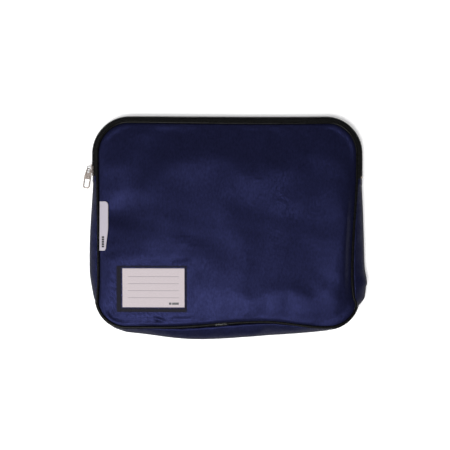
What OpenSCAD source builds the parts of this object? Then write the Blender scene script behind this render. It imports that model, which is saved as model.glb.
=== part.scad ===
// Zipped cash deposit bag, lying on its back panel: +Y runs towards the zip, +Z leaves the front panel.

/* [Bag] */
// Width of the back panel, seam to seam
bag_w = 380; // [360:2:400]
// Height of the back panel, bottom seam to top seam
bag_h = 302; // [290:2:320]
// Corner radius at the zipped end
top_r = 50; // [46:1:56]
// Corner radius at the closed end
bottom_r = 46; // [42:1:52]
// Height of the front seam above the back seam at the zipped end
depth_top = 20; // [18:1:24]
// Height of the front seam above the back seam at the closed end
depth_bottom = 30; // [26:1:36]
// How far the front seam stands inside the back seam
lean = 4.5; // [3:0.5:6]
// Thickness of the coated cloth
cloth = 0.8; // [0.6:0.1:1]
// Rise of the front panel's crown at the zipped end
crown_top = 5; // [3:1:7]
// Rise of the front panel's crown at the closed end
crown_bottom = 13; // [8:1:16]

/* [Piping] */
// Outer diameter of the piping
piping_d = 4; // [3.6:0.2:4.4]
// Wall of the piping's cover
piping_wall = 0.7; // [0.5:0.1:0.8]
// Height of the tape that binds the seam allowance inside
binding_h = 7; // [5:1:8]

/* [Zip] */
// Y of the zip's end on the left side
zip_end_left = 68; // [66:1:70]
// Y of the zip's end on the right side
zip_end_right = 64; // [62:1:70]
// Thickness of the zip tape
tape = 0.7; // [0.5:0.1:0.8]
// Gap between the two tapes with the zip undone
tape_gap = 1.3; // [1.2:0.1:1.6]
// Width of one coil
coil_w = 2.5; // [2.2:0.1:2.6]
// Height of one coil above its tape
coil_h = 1.8; // [1.6:0.1:1.9]
// Y of the slider's middle, against its stop
slider_y = 79; // [78.5:0.5:80]
// Length of the slider
slider_l = 13; // [12:0.5:13.5]
// Length of the pull tab
tab_l = 29.5; // [27:0.5:31]
// Width of the pull tab at its free end
tab_w = 11.4; // [10:0.2:12]

/* [Name card] */
// Width of the card
card_w = 88; // [85:1:90]
// Height of the card
card_h = 55; // [54:1:56]
// Width of the clear pocket
pocket_w = 100; // [97:1:102]
// Height of the clear pocket
pocket_h = 66; // [64:1:68]

/* [Label] */
// Length of the side label along the seam
label_l = 70; // [60:1:74]
// Width of the side label
label_w = 12.6; // [10:0.2:14]

/* [Hidden] */

navy = [0.09, 0.10, 0.24];
black = [0.06, 0.06, 0.06];
white = [0.86, 0.83, 0.85];
nickel = [0.78, 0.74, 0.70];
clear = [0.75, 0.78, 0.85, 0.4];

half_w = bag_w / 2;
y_top = bag_h / 2 - 1;
y_bottom = y_top - bag_h;
piping_r = piping_d / 2;
back_z = piping_r;
edge_gap = piping_r + 0.2;
side_low = y_bottom + bottom_r;
side_high = y_top - top_r;
side_len = side_high - side_low;
front_top = y_top - lean;
front_bottom = y_bottom + lean;

// Where the front seam is cut for the flap, as degrees into each top corner
cut_angle = 5;
cut_gap = 0.006;
cut_right = 1 + cut_angle / 90;
cut_left = 4 - cut_angle / 90;
hinge_y = side_high + (top_r - lean) * sin(cut_angle);

// Segments of the outline: 0 right side, 1 top right corner, 2 top, 3 top left corner,
// 4 left side, 5 bottom left corner, 6 bottom, 7 bottom right corner.
zip_right = (zip_end_right - side_low) / side_len;
zip_left = 4 + (side_high - zip_end_left) / side_len;
seam_gap = 0.0015;

function mix(a, b, t) = a + (b - a) * t;
function clamp01(v) = min(1, max(0, v));
function ease(v) = clamp01(v) * clamp01(v) * (3 - 2 * clamp01(v));
function steps(a, b, n) = [for (i = [0:n]) mix(a, b, i / n)];
function tail(v) = [for (i = [1:len(v) - 1]) v[i]];

// A smooth hump of height 1 at c, falling to 0 over w_low below it and w_high above it
function hump(v, c, w_low, w_high) =
    let (d = v < c ? (c - v) / w_low : (v - c) / w_high) d < 1 ? pow(cos(90 * d), 2) : 0;

function corner_centre(k) =
    k == 1 ? [half_w - top_r, side_high] : k == 3 ? [top_r - half_w, side_high] :
    k == 5 ? [bottom_r - half_w, side_low] : [half_w - bottom_r, side_low];

// Outward direction of the outline at station s
function outward(s) =
    let (w = s % 8, k = floor(w), f = w - k)
    k == 0 ? [1, 0] : k == 2 ? [0, 1] : k == 4 ? [-1, 0] : k == 6 ? [0, -1] :
    let (a = 90 * ((k - 1) / 2 + f)) [cos(a), sin(a)];

// Point of the back seam at station s
function seam(s) =
    let (w = s % 8, k = floor(w), f = w - k, r = k < 4 ? top_r : bottom_r)
    k == 0 ? [half_w, mix(side_low, side_high, f)] :
    k == 2 ? [mix(half_w - top_r, top_r - half_w, f), y_top] :
    k == 4 ? [-half_w, mix(side_high, side_low, f)] :
    k == 6 ? [mix(bottom_r - half_w, half_w - bottom_r, f), y_bottom] :
    corner_centre(k) + r * outward(s);

// How far the filled front panel draws its seam in
function dent(s) =
    let (w = s % 8, v = w > 4 ? w - 8 : w)
    8 * hump(v, 0.15, 0.42, 0.82) + 8 * hump(w, 6.68, 0.5, 0.3)
    + 2.2 * hump(w, 4.8, 0.8, 0.4) + 2.2 * hump(w, 2.25, 0.6, 0.9);

// How far the gusset bulges out of the line between the two seams
zip_bulge = 4.5;
function bulge(s) =
    let (w = s % 8, v = w > 4 ? w - 8 : w)
    (w >= zip_right && w <= zip_left) ? zip_bulge :
    0.8 + 13 * hump(v, 0.1, 0.34, 1.12) + 9.6 * hump(w, 4.79, 1.04, 0.34)
    + 16.5 * hump(w, 6.42, 0.6, 0.75);

function front_z(y) = back_z + mix(depth_top, depth_bottom, (front_top - y) / (front_top - front_bottom));

// Point at inset d inside the back seam and height z
function ring_point(s, d, z) = let (p = seam(s) - d * outward(s)) [p[0], p[1], z];
function front_inset(s) = lean + dent(s);
function front_seam(s) =
    let (d = front_inset(s), p = seam(s) - d * outward(s)) [p[0], p[1], front_z(p[1])];

// The gusset's cross-section is flat around the zip and round elsewhere
function flat_share(s) = let (w = s % 8) (w >= zip_right && w <= zip_left) ? 0.5 :
    0.5 - 0.4 * ease(8 * min(abs(w - zip_left), w < 1 ? zip_right - w : 8));
function arch(t, flat) = 1 - pow(max(0, (abs(2 * t - 1) - flat) / (1 - flat)), 2);
function side_point(s, t) =
    let (d = front_inset(s), top = front_seam(s)[2])
    ring_point(s, mix(0, d, t) - bulge(s) * arch(t, flat_share(s)), mix(back_z, top, t));

// Inward-leaning frame of the zip: its middle, outward normal and the direction across it
function zip_lean(s) = atan(front_inset(s) / (front_seam(s)[2] - back_z));
function zip_normal(s) = let (a = zip_lean(s), n = outward(s)) [n[0] * cos(a), n[1] * cos(a), sin(a)];
function zip_across(s) = let (a = zip_lean(s), n = outward(s)) [-n[0] * sin(a), -n[1] * sin(a), cos(a)];

// Closed loop of a sheet's section: up its outer face, then down its inner face
function sheet_section(s, t0, t1, n, thick) =
    let (ts = steps(t0, t1, n), h = 0.02,
         lines = [for (t = ts)
             let (p = side_point(s, t), q = side_point(s, t + h) - side_point(s, t - h),
                  o = outward(s), rise = q[2], run = q[0] * o[0] + q[1] * o[1],
                  m = sqrt(rise * rise + run * run))
             [p, [o[0] * rise, o[1] * rise, -run] / m * thick / 2]])
    concat([for (l = lines) l[0] + l[1]], [for (i = [n:-1:0]) lines[i][0] - lines[i][1]]);

// Round section, or an open one when turn is under 360
function tube_section(s, centre, r, n) =
    [for (i = [0:n - 1]) let (a = 360 * i / n, o = outward(s))
        centre + r * [o[0] * cos(a), o[1] * cos(a), sin(a)]];
function wrap_section(s, centre, r_out, r_in, mouth, n) =
    let (o = outward(s), a0 = mouth + 20, turn = 320,
         dirs = [for (i = [0:n]) let (a = a0 + turn * i / n) [o[0] * cos(a), o[1] * cos(a), sin(a)]])
    concat([for (d = dirs) centre + r_out * d], [for (i = [n:-1:0]) centre + r_in * dirs[i]]);

// Sweeps a list of sections of equal, even length, with flat ends
module sweep(sections, closed = false) {
    k = len(sections[0]);
    n = len(sections);
    last = closed ? n - 1 : n - 2;
    sides = [for (i = [0:last]) for (j = [0:k - 1])
        let (a = i * k + j, b = ((i + 1) % n) * k + j,
             c = ((i + 1) % n) * k + (j + 1) % k, d = i * k + (j + 1) % k)
        each [[a, d, c], [a, c, b]]];
    pairs = [for (j = [0:k / 2 - 2]) [j, j + 1, k - 2 - j, k - 1 - j]];
    start = [for (q = pairs) each [[q[0], q[3], q[2]], [q[0], q[2], q[1]]]];
    far = (n - 1) * k;
    finish = [for (q = pairs) each [[q[0] + far, q[1] + far, q[2] + far], [q[0] + far, q[2] + far, q[3] + far]]];
    polyhedron(points = [for (s = sections) each s], faces = closed ? sides : concat(sides, start, finish));
}

// Stations along the two parts of the front seam and along the zip
function lower_run(e) = concat(
    steps(cut_left + e, 4, 1), tail(steps(4, 5, 8)), tail(steps(5, 6, 6)), tail(steps(6, 7, 12)),
    tail(steps(7, 8, 6)), tail(steps(8, 9, 8)), tail(steps(9, 8 + cut_right - e, 1)));
function upper_run(e) = concat(
    steps(cut_right + e, 2, 6), tail(steps(2, 3, 8)), tail(steps(3, cut_left - e, 6)));
zip_run = concat(
    steps(zip_right + seam_gap, 1, 2), tail(steps(1, 2, 7)), tail(steps(2, 3, 8)),
    tail(steps(3, 4, 7)), tail(steps(4, zip_left - seam_gap, 2)));
gusset_run = concat(
    steps(zip_left + seam_gap, 5, 9), tail(steps(5, 6, 6)), tail(steps(6, 7, 12)),
    tail(steps(7, 8, 6)), tail(steps(8, 8 + zip_right - seam_gap, 9)));
left_end_run = steps(cut_left + cut_gap, zip_left - seam_gap, 4);
right_end_run = steps(zip_right + seam_gap, cut_right - cut_gap, 4);

// --- cloth panels ---

// Middle of the card pocket, and how its plane rises along X and Y
card_x = -107.3;
card_y = -92.7;
card_z = 36;
card_rise_x = 0.0475;
card_rise_y = 0.03;
card_turn = [atan(card_rise_y), -atan(card_rise_x), 0];
card_backing = 0.5;
card_margin = 8;
card_fade = 14;
function card_plane(x, y) = card_z + card_rise_x * (x - card_x) + card_rise_y * (y - card_y);

// The cloth is drawn flat behind the card pocket
function flatten(x, y) =
    let (dx = max(0, abs(x - card_x) - pocket_w / 2 - card_margin),
         dy = max(0, abs(y - card_y) - pocket_h / 2 - card_margin))
    1 - ease(norm([dx, dy]) / card_fade);

// Middle surface of the front panel
function crown(x, y) =
    let (a = abs(x) / (half_w - lean), mid = (front_top + front_bottom) / 2,
         b = abs(y - mid) / ((front_top - front_bottom) / 2),
         far = pow(pow(a, 5) + pow(b, 5), 0.2),
         rise = mix(crown_top, crown_bottom, (front_top - y) / (front_top - front_bottom)),
         dome = front_z(y) + rise * max(0, 1 - pow(far, 3)))
    mix(dome, card_plane(x, y) - card_backing - cloth / 2, flatten(x, y));

// Sheet inside a closed outline, in rings that shrink to its middle
module crowned_sheet(rim, middle, rings) {
    n = len(rim);
    shares = [for (k = [0:rings - 1]) 1 - pow(k / rings, 1.4)];
    grid = [for (f = shares) each [for (p = rim) let (x = mix(middle[0], p[0], f), y = mix(middle[1], p[1], f))
        [x, y, crown(x, y)]]];
    centre = [middle[0], middle[1], crown(middle[0], middle[1])];
    up = [0, 0, cloth / 2];
    upper = [for (p = concat(grid, [centre])) p + up];
    lower = [for (p = concat(grid, [centre])) p - up];
    m = len(upper);
    bands = [for (k = [0:rings - 2]) for (i = [0:n - 1])
        let (a = k * n + i, b = k * n + (i + 1) % n) [a, b, b + n, a + n]];
    fan = [for (i = [0:n - 1]) [(rings - 1) * n + i, (rings - 1) * n + (i + 1) % n, m - 1]];
    top_faces = concat([for (q = bands) each [[q[0], q[2], q[1]], [q[0], q[3], q[2]]]],
        [for (t = fan) [t[0], t[2], t[1]]]);
    rim_faces = [for (i = [0:n - 1]) let (j = (i + 1) % n) each [[i, j, j + m], [i, j + m, i + m]]];
    polyhedron(points = concat(upper, lower),
        faces = concat(top_faces, [for (t = top_faces) [t[0] + m, t[2] + m, t[1] + m]], rim_faces));
}

function panel_rim(run) = [for (s = run) let (d = front_inset(s) + edge_gap, p = seam(s) - d * outward(s)) p];

function cut_line(from, to, n) = [for (i = [1:n - 1]) mix(from, to, i / n)];

module front_panel() {
    rim = panel_rim(lower_run(cut_gap));
    closing = cut_line(rim[len(rim) - 1], rim[0], 16);
    color(navy) crowned_sheet(concat(rim, closing), [0, -20], 9);
}

module flap_panel() {
    rim = panel_rim(upper_run(cut_gap));
    closing = cut_line(rim[len(rim) - 1], rim[0], 16);
    color(navy) crowned_sheet(concat(rim, closing), [0, (hinge_y + front_top) / 2], 5);
}

module outline_2d(inset) {
    points = [for (k = [0:2:6]) for (s = concat([k], steps(k + 1, k + 2, 15)))
        let (p = seam(s) - inset * outward(s)) p];
    polygon(points);
}

module back_panel() {
    color(navy) linear_extrude(cloth) outline_2d(edge_gap);
}

module gusset() {
    color(navy) sweep([for (s = gusset_run) sheet_section(s, 0.07, 0.93, 7, cloth)]);
}

// --- piping and bindings ---

// Direction in which the front piping's cover opens for the seam allowance
piping_mouth = 200;
cord_r = piping_r - piping_wall - 0.1;
// Where the binding lies inside its seam, and how far below it on the front
binding_near = 2.8;
binding_far = 4;
binding_drop = 1.2;

module front_piping(run) {
    sweep([for (s = run) wrap_section(s, front_seam(s), piping_r, piping_r - piping_wall, piping_mouth, 9)]);
}
module front_piping_cover() { color(black) front_piping(lower_run(cut_gap)); }
module flap_piping_cover() { color(black) front_piping(upper_run(cut_gap)); }

module front_cord(run) {
    sweep([for (s = run) tube_section(s, front_seam(s), cord_r, 8)]);
}
module front_piping_cord() { color(white) front_cord(lower_run(cut_gap)); }
module flap_piping_cord() { color(white) front_cord(upper_run(cut_gap)); }

module front_binding(run) {
    sweep([for (s = run)
        let (near = front_inset(s) + binding_near, far = front_inset(s) + binding_far,
             high = front_seam(s)[2] - binding_drop, low = high - binding_h)
        [ring_point(s, near, low), ring_point(s, near, high), ring_point(s, far, high), ring_point(s, far, low)]]);
}
module front_seam_binding() { color(black) front_binding(lower_run(cut_gap)); }
module flap_seam_binding() { color(black) front_binding(upper_run(cut_gap)); }

// Back piping: straight and turned lengths of one section
module piping_profile() {
    difference() {
        circle(piping_r, $fn = 48);
        circle(piping_r - piping_wall, $fn = 48);
        rotate(-piping_mouth) translate([0, -0.5]) square([3, 1]);
    }
}

module back_ring() {
    for (k = [0:2:6]) {
        from = seam(k);
        far = seam(k + 0.999999);
        length = norm(far - from);
        a = 45 * k;
        translate([from[0], from[1], back_z]) rotate([0, 0, a]) rotate([90, 0, 180])
            linear_extrude(length) mirror([1, 0]) children();
    }
    for (k = [1:2:7]) {
        c = corner_centre(k);
        translate([c[0], c[1], back_z]) rotate([0, 0, 90 * (k - 1) / 2])
            rotate_extrude(angle = 90, $fn = 96) translate([k < 4 ? top_r : bottom_r, 0]) children();
    }
}

module back_piping_cover() { color(black) back_ring() piping_profile(); }
module back_piping_cord() { color(white) back_ring() circle(cord_r, $fn = 48); }

module back_seam_binding() {
    color(black) translate([0, 0, cloth + 0.3]) linear_extrude(binding_h)
        difference() { outline_2d(binding_near); outline_2d(binding_far); }
}

// --- zip ---

tape_start = 0.07;
function tape_inner(s) = 0.5 - tape_gap / 2 / norm(front_seam(s) - ring_point(s, 0, back_z));

module back_zip_tape() {
    color(black) sweep([for (s = zip_run) sheet_section(s, tape_start, tape_inner(s), 5, tape)]);
}

module front_tape(run) {
    sweep([for (s = run) sheet_section(s, 1 - tape_inner(s), 1 - tape_start, 5, tape)]);
}
module front_zip_tape_ends() { color(black) { front_tape(left_end_run); front_tape(right_end_run); } }
module flap_zip_tape() { color(black) front_tape(upper_run(cut_gap)); }

coil_off = 0.95;
function coil_section(s, side) =
    let (c = side_point(s, 0.5), n = zip_normal(s), a = zip_across(s) * side, low = tape / 2 + 0.05,
         v = [[low, 0], [low + coil_h * 0.5, 0], [low + coil_h, 0.2], [low + coil_h, 0.8],
              [low + coil_h * 0.5, 1], [low, 1]],
         loop = [for (p = v) c + n * p[0] + a * (coil_off + p[1] * coil_w)])
    side > 0 ? loop : [for (i = [5:-1:0]) loop[i]];

// Height of the coils above the zip's ends, where the stops sit
coil_end = 4;
coil_left = 4 + (side_high - zip_end_left - coil_end) / side_len;
coil_right = (zip_end_right + coil_end - side_low) / side_len;

module back_zip_coil() {
    run = concat([coil_right], [for (s = zip_run) if (s > coil_right + 0.01 && s < coil_left - 0.01) s], [coil_left]);
    color(black) sweep([for (s = run) coil_section(s, -1)]);
}

module front_coil(run) { sweep([for (s = run) coil_section(s, 1)]); }
module front_zip_coil_ends() {
    color(black) {
        front_coil(steps(coil_right, cut_right - cut_gap, 4));
        front_coil(steps(cut_left + cut_gap, coil_left, 4));
    }
}
module flap_zip_coil() { color(black) front_coil(upper_run(cut_gap)); }

// Places children on the zip's side stretch at height y: x across the zip, y along it, z outward
module on_left_zip(y) {
    s = 4 + (side_high - y) / side_len;
    translate(side_point(s, 0.5)) rotate([0, zip_lean(s) - 90, 0]) children();
}
module on_right_zip(y) {
    s = (y - side_low) / side_len;
    translate(side_point(s, 0.5)) rotate([0, 90 - zip_lean(s), 0]) children();
}

stop_h = 1.9;
stop_l = 2.6;
stop_place = 2.2;
stop_step = 0.5;
bottom_stop_w = 7.2;
top_stop_w = 2.8;
top_stop_off = 2.3;

// A clamped stop with a step along each edge
module stop(w) {
    translate([-w / 2, -stop_l / 2, tape / 2 + 0.05])
        difference() {
            cube([w, stop_l, stop_h]);
            for (x = [-1, w - 0.6]) translate([x, -0.01, stop_h - stop_step]) cube([1.6, stop_l + 0.4, 1]);
        }
}
module zip_bottom_stop() { color(nickel) on_left_zip(zip_end_left + stop_place) stop(bottom_stop_w); }
module zip_top_stops() {
    color(nickel) on_right_zip(zip_end_right + stop_place)
        for (side = [-1, 1]) translate([side * top_stop_off, 0, 0]) stop(top_stop_w);
}

// --- slider ---

plate = 0.8;
plate_gap = 0.3;
plate_low = tape / 2 + coil_h + plate_gap;
plate_top = plate_low + plate;
nose_w = 9.4;
tail_w = 8.6;
nose_l = 5;
flange_w = 0.7;
post_w = 0.9;
post_l = 2.8;
bridge_w = 1.3;
bridge_t = 1;
bridge_window = 5.1;
bridge_l = 8;
bridge_r = 1.6;
bridge_inner_r = 0.9;

module slider_outline() {
    hull() {
        translate([0, (slider_l - nose_l) / 2]) resize([nose_w, nose_l]) circle(3, $fn = 40);
        translate([-tail_w / 2, -slider_l / 2]) square([tail_w, 1]);
    }
}

module slider_flange(side) {
    translate([side * (tail_w - flange_w) / 2 - flange_w / 2, -slider_l / 2, tape / 2 + plate_gap])
        cube([flange_w, slider_l * 0.78, plate_low - tape / 2 - 0.2]);
}

module slider_body() {
    color(nickel) on_left_zip(slider_y) {
        translate([0, 0, plate_low]) linear_extrude(plate) slider_outline();
        translate([0, 0, -tape / 2 - plate_gap - plate]) linear_extrude(plate) slider_outline();
        translate([-post_w / 2, slider_l / 2 - 0.8 - post_l, -tape / 2 - plate_gap - 0.1])
            cube([post_w, post_l, plate_low + tape / 2 + plate_gap + 0.2]);
        for (side = [-1, 1]) slider_flange(side);
    }
}

module bridge_2d() {
    difference() {
        hull() {
            for (side = [-1, 1])
                translate([side * (bridge_l / 2 - bridge_r), bridge_window + bridge_t - bridge_r])
                    circle(bridge_r, $fn = 40);
            translate([-bridge_l / 2, 0]) square([bridge_l, 0.5]);
        }
        hull() {
            for (side = [-1, 1])
                translate([side * (bridge_l / 2 - bridge_t - bridge_inner_r), bridge_window - bridge_inner_r])
                    circle(bridge_inner_r, $fn = 32);
            translate([-bridge_l / 2 + bridge_t, -1]) square([bridge_l - 2 * bridge_t, 1.5]);
        }
    }
}

module slider_bridge() {
    color(nickel) on_left_zip(slider_y)
        translate([-bridge_w / 2, 0, plate_top]) rotate([90, 0, 90]) linear_extrude(bridge_w) bridge_2d();
}

// --- pull tab ---

tab_t = 1;
tab_r = 3.7;
slot_r = 2.5;
slot_l = 3.6;
tab_low = tab_r - tab_l;
tab_shoulder = -8;
window_top = -12.4;
window_low = tab_low + 1.7;
window_w = tab_w - 3.4;
chamfer = 2.4;
window_chamfer = 1.92;
rib_w = tab_w - 4;
rib_low = -11.2;
rib_l = 5.2;
rib_h = 0.25;
// Turn of the tab about its own length, its swing off the zip's line and where it hangs in the bridge
tab_twist = 52;
tab_swing = 8;
tab_side = 0.5;
tab_pivot = plate_top + 3;

module tab_2d() {
    difference() {
        hull() {
            circle(tab_r, $fn = 48);
            polygon([[-tab_w / 2, tab_shoulder], [tab_w / 2, tab_shoulder], [tab_w / 2, tab_low + chamfer],
                [tab_w / 2 - chamfer, tab_low], [chamfer - tab_w / 2, tab_low], [-tab_w / 2, tab_low + chamfer]]);
        }
        hull() {
            circle(slot_r, $fn = 40);
            translate([0, -slot_l + slot_r]) circle(slot_r, $fn = 40);
        }
        polygon([[-window_w / 2, window_top], [window_w / 2, window_top],
            [window_w / 2, window_low + window_chamfer], [window_w / 2 - window_chamfer, window_low],
            [window_chamfer - window_w / 2, window_low], [-window_w / 2, window_low + window_chamfer]]);
    }
}

module tab_plate() {
    translate([0, 0, -tab_t / 2]) linear_extrude(tab_t) tab_2d();
    translate([-rib_w / 2, rib_low, -tab_t / 2 - rib_h]) cube([rib_w, rib_l, tab_t + 2 * rib_h]);
}

module pull_tab() {
    color(nickel) on_left_zip(slider_y) translate([0, 0, tab_pivot])
        rotate([-tab_swing, 0, 0]) rotate([0, tab_twist, 0])
            translate([-tab_side, -(slot_r + tab_r) / 2, 0]) tab_plate();
}

// --- card pocket, card and label ---

back_film = 0.35;
cover_t = 0.4;
card_t = 0.35;
slot_t = 0.85;
card_play = 0.5;
card_off = [2.7, 1.6];

module on_card_plane() { translate([card_x, card_y, card_z]) rotate(card_turn) children(); }

module card_pocket_back() {
    color(clear) on_card_plane()
        translate([-pocket_w / 2, -pocket_h / 2, -back_film]) cube([pocket_w, pocket_h, back_film]);
}

module card_pocket_window() {
    color(clear) on_card_plane() difference() {
        translate([-pocket_w / 2, -pocket_h / 2, 0]) cube([pocket_w, pocket_h, slot_t + cover_t]);
        translate([card_off[0] - card_w / 2 - card_play, card_off[1] - card_h / 2 - card_play, -1])
            cube([card_w + 2 * card_play, pocket_h, slot_t + 1]);
    }
}

module name_card() {
    color(white) on_card_plane()
        translate([card_off[0] - card_w / 2, card_off[1] - card_h / 2, (slot_t - card_t) / 2])
            cube([card_w, card_h, card_t]);
}

label_t = 0.8;
label_y = 31.5;
label_slope = 10;
label_rise = 1.4;
label_r = 5.5;
label_cut = 1.2;
label_taper = 3.2;
// Share of the label's length above its taper
label_waist = 0.53;
label_fall = atan((depth_bottom - depth_top) / (front_top - front_bottom));
label_s = 4 + (side_high - label_y + label_l / 2) / side_len;

module label_2d() {
    hull() {
        translate([label_w - label_r, -label_r]) circle(label_r, $fn = 48);
        translate([0, -1]) square([1, 1]);
        translate([0, -label_l * label_waist]) square([label_w, 1]);
        translate([label_cut, -label_l]) square([label_w - label_cut - label_taper, 1]);
    }
}

module side_label() {
    c = front_seam(label_s);
    color(white) translate([c[0] + edge_gap + 0.2, label_y, front_z(label_y) + label_rise])
        rotate([-label_fall, 0, 0]) rotate([0, -label_slope, 0]) linear_extrude(label_t) label_2d();
}

back_panel();
back_piping_cover();
back_piping_cord();
back_seam_binding();
gusset();
front_panel();
front_piping_cover();
front_piping_cord();
front_seam_binding();
back_zip_tape();
back_zip_coil();
front_zip_tape_ends();
front_zip_coil_ends();
zip_bottom_stop();
zip_top_stops();
card_pocket_back();
card_pocket_window();
name_card();
side_label();
flap_panel();
flap_piping_cover();
flap_piping_cord();
flap_seam_binding();
flap_zip_tape();
flap_zip_coil();
slider_body();
slider_bridge();
pull_tab();
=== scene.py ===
"""Looks of a zipped cash deposit bag that lies on its back panel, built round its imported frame.

Sizes in this script are millimetres in the row's frame. They become metres where a mesh is made.
Stations run round the bag's outline from 0 to 8: 0 right side, 1 top right corner, 2 top,
3 top left corner, 4 left side, 5 bottom left corner, 6 bottom, 7 bottom right corner.
"""
import math

import bpy
import numpy as np
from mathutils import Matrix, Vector


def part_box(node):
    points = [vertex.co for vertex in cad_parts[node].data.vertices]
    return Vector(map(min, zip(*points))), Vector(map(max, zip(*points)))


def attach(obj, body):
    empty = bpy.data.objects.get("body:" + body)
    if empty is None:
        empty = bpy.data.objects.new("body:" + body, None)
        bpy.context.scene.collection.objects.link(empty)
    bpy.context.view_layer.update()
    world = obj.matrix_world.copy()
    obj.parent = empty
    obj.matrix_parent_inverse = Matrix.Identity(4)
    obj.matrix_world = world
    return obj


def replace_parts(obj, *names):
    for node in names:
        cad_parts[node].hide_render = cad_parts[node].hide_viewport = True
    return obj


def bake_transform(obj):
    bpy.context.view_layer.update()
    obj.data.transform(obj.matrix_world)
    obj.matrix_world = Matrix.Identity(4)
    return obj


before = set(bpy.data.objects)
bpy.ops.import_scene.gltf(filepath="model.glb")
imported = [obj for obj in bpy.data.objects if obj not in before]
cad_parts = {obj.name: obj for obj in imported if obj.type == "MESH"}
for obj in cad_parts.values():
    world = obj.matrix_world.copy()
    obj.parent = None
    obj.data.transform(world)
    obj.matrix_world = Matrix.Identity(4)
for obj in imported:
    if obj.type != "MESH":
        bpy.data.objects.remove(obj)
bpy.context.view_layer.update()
MM = 0.001


# --- The bag's outline and seams ---

def face(node, side, axis):
    """Where one face of a node's box lies: side 0 is the low one, 1 the high one."""
    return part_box(node)[side][axis] / MM


def middle(node, axis):
    """The middle of a node's box along one axis."""
    return (face(node, 0, axis) + face(node, 1, axis)) / 2


PIPING_R = (face("back_piping_cover", 1, 2) - face("back_piping_cover", 0, 2)) / 2
HALF_W = face("back_piping_cover", 1, 0) - PIPING_R
Y_TOP = face("back_piping_cover", 1, 1) - PIPING_R
Y_BOTTOM = face("back_piping_cover", 0, 1) + PIPING_R
BACK_Z = PIPING_R
# The next ten are sizes of the part's own source.
TOP_R = 50
BOTTOM_R = 46
LEAN = 4.5
DEPTH_TOP = 20
DEPTH_BOTTOM = 30
CROWN_TOP = 5
CROWN_BOTTOM = 13
CLOTH = 0.8
TAPE = 0.7
ZIP_BULGE = 4.5
# The zip ends this far past its stops.
PAST_STOPS = 0.9
ZIP_END_LEFT = face("zip_bottom_stop", 0, 1) - PAST_STOPS
ZIP_END_RIGHT = face("zip_top_stops", 0, 1) - PAST_STOPS
SIDE_LOW = Y_BOTTOM + BOTTOM_R
SIDE_HIGH = Y_TOP - TOP_R
SIDE_LEN = SIDE_HIGH - SIDE_LOW
FRONT_TOP = Y_TOP - LEAN
FRONT_BOTTOM = Y_BOTTOM + LEAN
FRONT_MID = (FRONT_TOP + FRONT_BOTTOM) / 2
FRONT_HALF = (FRONT_TOP - FRONT_BOTTOM) / 2

# Ends of each straight by its first station, then centre and radius of each corner.
STRAIGHTS = {
    0: ((HALF_W, SIDE_LOW), (HALF_W, SIDE_HIGH)),
    2: ((HALF_W - TOP_R, Y_TOP), (TOP_R - HALF_W, Y_TOP)),
    4: ((-HALF_W, SIDE_HIGH), (-HALF_W, SIDE_LOW)),
    6: ((BOTTOM_R - HALF_W, Y_BOTTOM), (HALF_W - BOTTOM_R, Y_BOTTOM)),
}
CORNERS = {
    1: (HALF_W - TOP_R, SIDE_HIGH, TOP_R),
    3: (TOP_R - HALF_W, SIDE_HIGH, TOP_R),
    5: (BOTTOM_R - HALF_W, SIDE_LOW, BOTTOM_R),
    7: (HALF_W - BOTTOM_R, SIDE_LOW, BOTTOM_R),
}
ZIP_RIGHT = (ZIP_END_RIGHT - SIDE_LOW) / SIDE_LEN
ZIP_LEFT = 4 + (SIDE_HIGH - ZIP_END_LEFT) / SIDE_LEN


def hump(v, centre, low, high):
    """A smooth hump of height 1 that falls to 0 over low before its centre and high after it."""
    away = np.where(v < centre, (centre - v) / low, (v - centre) / high)
    return np.cos(np.pi / 2 * np.clip(away, 0, 1)) ** 2


def ease(v):
    t = np.clip(v, 0, 1)
    return t * t * (3 - 2 * t)


def outward(s):
    """Unit outward direction of the outline at stations s."""
    part = np.floor(np.mod(s, 8))
    turn = np.where(part % 2 == 0, part / 2, (part - 1) / 2 + np.mod(s, 1))
    return np.stack([np.cos(np.pi / 2 * turn), np.sin(np.pi / 2 * turn)], -1)


def outline(s):
    """Points of the back seam at stations s."""
    s = np.atleast_1d(np.asarray(s, float))
    part = np.floor(np.mod(s, 8)).astype(int)
    share = np.mod(s, 1)
    out = np.zeros((len(s), 2))
    for k, (start, end) in STRAIGHTS.items():
        here = part == k
        out[here] = np.array(start) + share[here, None] * (np.array(end) - np.array(start))
    for k, (x, y, r) in CORNERS.items():
        here = part == k
        out[here] = np.array([x, y]) + r * outward(s[here])
    return out


# Humps along the stations: the height of each, its centre, and its reach before and after that.
DENTS = [(8, 0.15, 0.42, 0.82), (8, 6.68, 0.5, 0.3), (2.2, 4.8, 0.8, 0.4), (2.2, 2.25, 0.6, 0.9)]
LEAST_BULGE = 0.8
BULGES = [(13, 0.1, 0.34, 1.12), (9.6, 4.79, 1.04, 0.34), (16.5, 6.42, 0.6, 0.75)]


def humps(s, rows, base=0.0):
    """The sum of some humps at stations s; one with its centre below station 1 may lie across station 0."""
    w = np.mod(s, 8)
    v = np.where(w > 4, w - 8, w)
    return sum((height * hump(v if centre < 1 else w, centre, low, high) for height, centre, low, high in rows), base)


def dent(s):
    """How far the filled front panel draws its seam in."""
    return humps(s, DENTS)


def on_zip(s):
    w = np.mod(s, 8)
    return (w >= ZIP_RIGHT) & (w <= ZIP_LEFT)


def bulge(s):
    """How far the side of the bag stands out of the line between its two seams."""
    return np.where(on_zip(s), ZIP_BULGE, humps(s, BULGES, LEAST_BULGE))


def flat_share(s):
    """How much of the side's height is flat: half of it at the zip, little elsewhere."""
    w = np.mod(s, 8)
    past = np.minimum(np.abs(w - ZIP_LEFT), np.where(w < 1, ZIP_RIGHT - w, 8))
    return np.where(on_zip(s), 0.5, 0.5 - 0.4 * ease(8 * past))


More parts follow.
